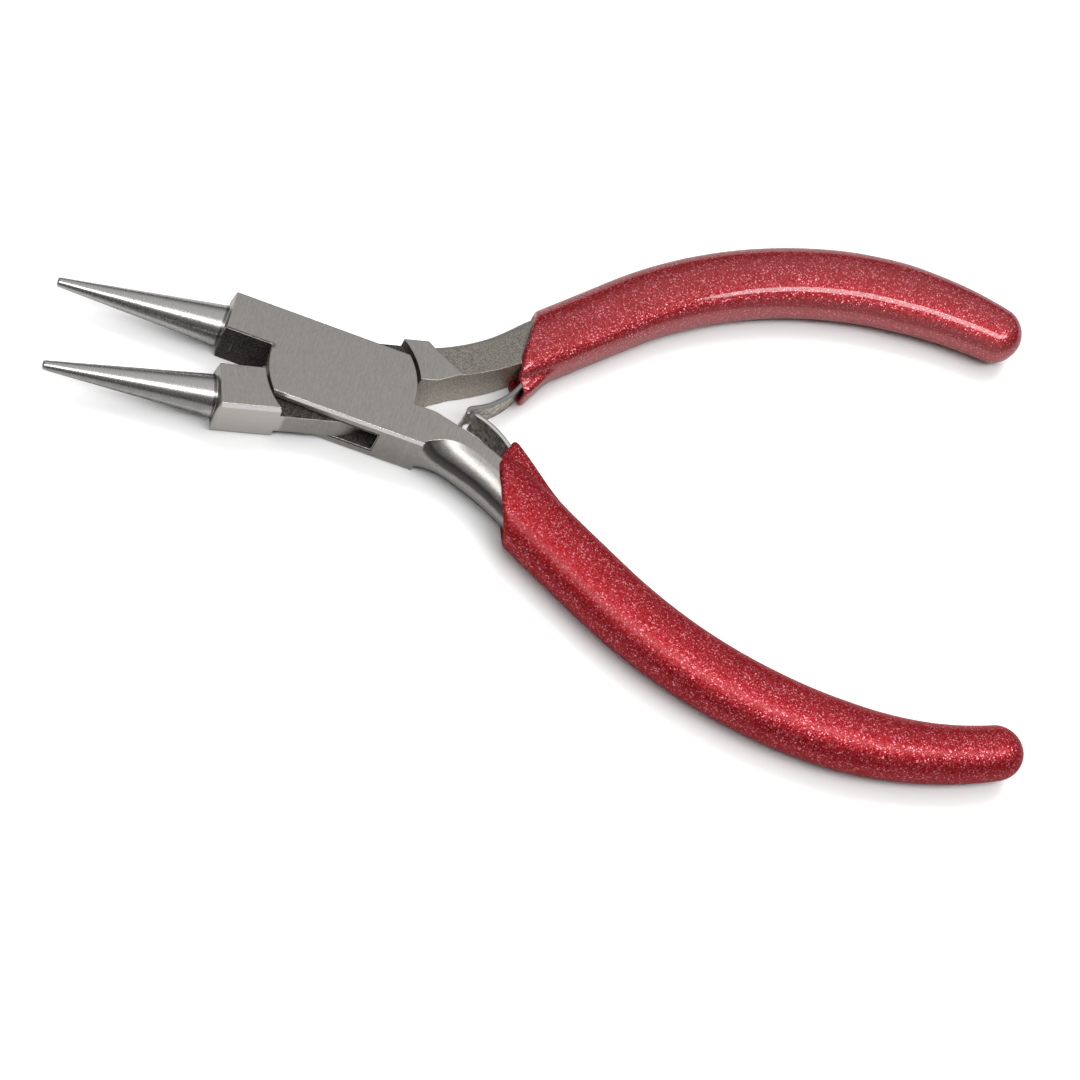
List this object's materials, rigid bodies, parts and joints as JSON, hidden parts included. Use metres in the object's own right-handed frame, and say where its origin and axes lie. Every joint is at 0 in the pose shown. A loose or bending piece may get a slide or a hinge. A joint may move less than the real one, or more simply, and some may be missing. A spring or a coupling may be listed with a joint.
{
  "type": "round nose pliers",
  "caption": "Small box-joint pliers with tapered round jaws, leaf springs that hold them open and dipped soft grips, for bending wire loops.",
  "frame": {"origin": "on the joint's pivot axis, in the plane of the joint's lower face, which is the plane the pliers lie on", "axes": "+X points from the pivot to the jaw tips, halfway between the two jaws; +Z is the pivot axis, up from the face the pliers lie on"},
  "size_m": [0.1119, 0.0664, 0.0064],
  "materials": {
    "ground_steel_box": "ground flat faces with fine cross grinding, polished cone and rounded handle root",
    "ground_steel_inner": "ground flat faces with fine cross grinding, polished cone, rough forged handle",
    "rivet_steel": "ground flush with the cheeks",
    "spring_steel_box": "dark rolled spring strip with bright edges",
    "spring_steel_inner": "dark rolled spring strip with bright edges",
    "small_rivet_steel_box": "plain",
    "small_rivet_steel_inner": "plain",
    "glitter_vinyl_box": "glossy deep red soft vinyl full of fine silver glitter",
    "glitter_vinyl_inner": "glossy deep red soft vinyl full of fine silver glitter"
  },
  "bodies": {
    "box_body": {"box_half": "ground_steel_box", "pivot_rivet": "rivet_steel", "spring_rivet_box": "small_rivet_steel_box", "grip_box": "glitter_vinyl_box"},
    "inner_body": {"inner_half": "ground_steel_inner", "spring_rivet_inner": "small_rivet_steel_inner", "grip_inner": "glitter_vinyl_inner"},
    "leaf_box_body": {"leaf_spring_box": "spring_steel_box"},
    "leaf_inner_body": {"leaf_spring_inner": "spring_steel_inner"}
  },
  "joints": [
    {"name": "jaw_pivot", "type": "hinge", "parent": "box_body", "child": "inner_body", "pos_m": [0, 0, 0.00305], "axis": [0, 0, 1], "range_deg": [-16.8, 12], "stiffness_Nm_per_rad": 0.5},
    {"name": "leaf_box_flex", "type": "hinge", "parent": "box_body", "child": "leaf_box_body", "pos_m": [-0.02283, 0.00906, 0.00305], "axis": [0, 0, 1], "range_deg": [-9.6, 13.4]},
    {"name": "leaf_inner_flex", "type": "hinge", "parent": "inner_body", "child": "leaf_inner_body", "pos_m": [-0.02283, -0.00906, 0.00305], "axis": [0, 0, 1], "range_deg": [-13.4, 9.6]}
  ],
  "couplings": [
    {"joint": "leaf_box_flex", "follows": "jaw_pivot", "ratio": -0.78},
    {"joint": "leaf_inner_flex", "follows": "jaw_pivot", "ratio": 0.78}
  ]
}
